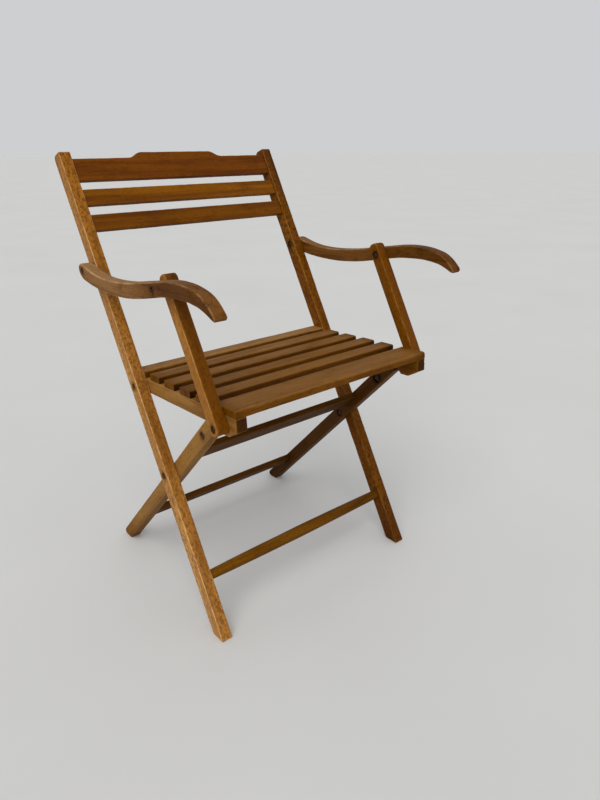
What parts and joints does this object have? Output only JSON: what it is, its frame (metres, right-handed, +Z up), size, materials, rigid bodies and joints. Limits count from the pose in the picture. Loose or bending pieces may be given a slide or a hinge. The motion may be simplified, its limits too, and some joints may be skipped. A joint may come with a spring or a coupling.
{
  "type": "folding armchair",
  "caption": "Wooden slatted folding armchair with crossed legs, curved arms and a slatted seat that lifts so the whole frame folds flat.",
  "frame": {"origin": "on the floor, midway across the chair's width and its front-to-rear depth", "axes": "+Z up, the sitter faces -Y, +X to the sitter's left"},
  "size_m": [0.5634, 0.5886, 0.8652],
  "materials": {
    "stile_wood": "worn varnish",
    "crest_wood": "worn varnish",
    "back_wood": "worn varnish",
    "leg_wood": "worn varnish",
    "rail_wood": "worn varnish",
    "seat_wood": "worn, greyed varnish",
    "arm_wood": "worn varnish",
    "dark_steel": "dulled and darkened"
  },
  "bodies": {
    "back_frame": {"left_stile": "stile_wood", "right_stile": "stile_wood", "crest_rail": "crest_wood", "back_slat_upper": "back_wood", "back_slat_lower": "back_wood", "front_stretcher": "leg_wood", "leg_pivot_bolts": "dark_steel", "leg_pivot_nuts": "dark_steel", "seat_pivot_bolts": "dark_steel", "seat_pivot_nuts": "dark_steel", "arm_pivot_bolts": "dark_steel", "arm_pivot_nuts": "dark_steel"},
    "seat": {"left_seat_rail": "rail_wood", "right_seat_rail": "rail_wood", "seat_slat_1": "seat_wood", "seat_slat_2": "seat_wood", "seat_slat_3": "seat_wood", "seat_slat_4": "seat_wood", "seat_slat_5": "seat_wood", "seat_slat_6": "seat_wood", "post_pivot_screws": "dark_steel"},
    "rear_legs": {"left_rear_leg": "leg_wood", "right_rear_leg": "leg_wood", "upper_leg_stretcher": "leg_wood", "lower_leg_stretcher": "leg_wood", "leg_top_bolts": "dark_steel", "leg_top_washers": "dark_steel", "leg_top_nuts": "dark_steel"},
    "left_arm_body": {"left_arm": "arm_wood", "left_hand_bolt": "dark_steel", "left_hand_nut": "dark_steel"},
    "right_arm_body": {"right_arm": "arm_wood", "right_hand_bolt": "dark_steel", "right_hand_nut": "dark_steel"},
    "left_post_body": {"left_arm_post": "stile_wood"},
    "right_post_body": {"right_arm_post": "stile_wood"}
  },
  "joints": [
    {"name": "seat_fold", "type": "hinge", "parent": "back_frame", "child": "seat", "pos_m": [0, 0.04908, 0.44466], "axis": [-1, 0, 0], "range_deg": [0, 108]},
    {"name": "legs_fold", "type": "hinge", "parent": "back_frame", "child": "rear_legs", "pos_m": [0, -0.04039, 0.2864], "axis": [-1, 0, 0], "range_deg": [0, 59.4]},
    {"name": "left_arm_fold", "type": "hinge", "parent": "back_frame", "child": "left_arm_body", "pos_m": [0, 0.16728, 0.65377], "axis": [-1, 0, 0], "range_deg": [0, 108]},
    {"name": "right_arm_fold", "type": "hinge", "parent": "back_frame", "child": "right_arm_body", "pos_m": [0, 0.16728, 0.65377], "axis": [-1, 0, 0], "range_deg": [0, 108]},
    {"name": "left_post_fold", "type": "hinge", "parent": "seat", "child": "left_post_body", "pos_m": [0, -0.23172, 0.45287], "axis": [-1, 0, 0], "range_deg": [-108, 0]},
    {"name": "right_post_fold", "type": "hinge", "parent": "seat", "child": "right_post_body", "pos_m": [0, -0.23172, 0.45287], "axis": [-1, 0, 0], "range_deg": [-108, 0]}
  ],
  "couplings": [
    {"joint": "legs_fold", "follows": "seat_fold", "ratio": 0.55},
    {"joint": "left_arm_fold", "follows": "seat_fold", "ratio": 1},
    {"joint": "right_arm_fold", "follows": "seat_fold", "ratio": 1},
    {"joint": "left_post_fold", "follows": "seat_fold", "ratio": -1},
    {"joint": "right_post_fold", "follows": "seat_fold", "ratio": -1}
  ]
}
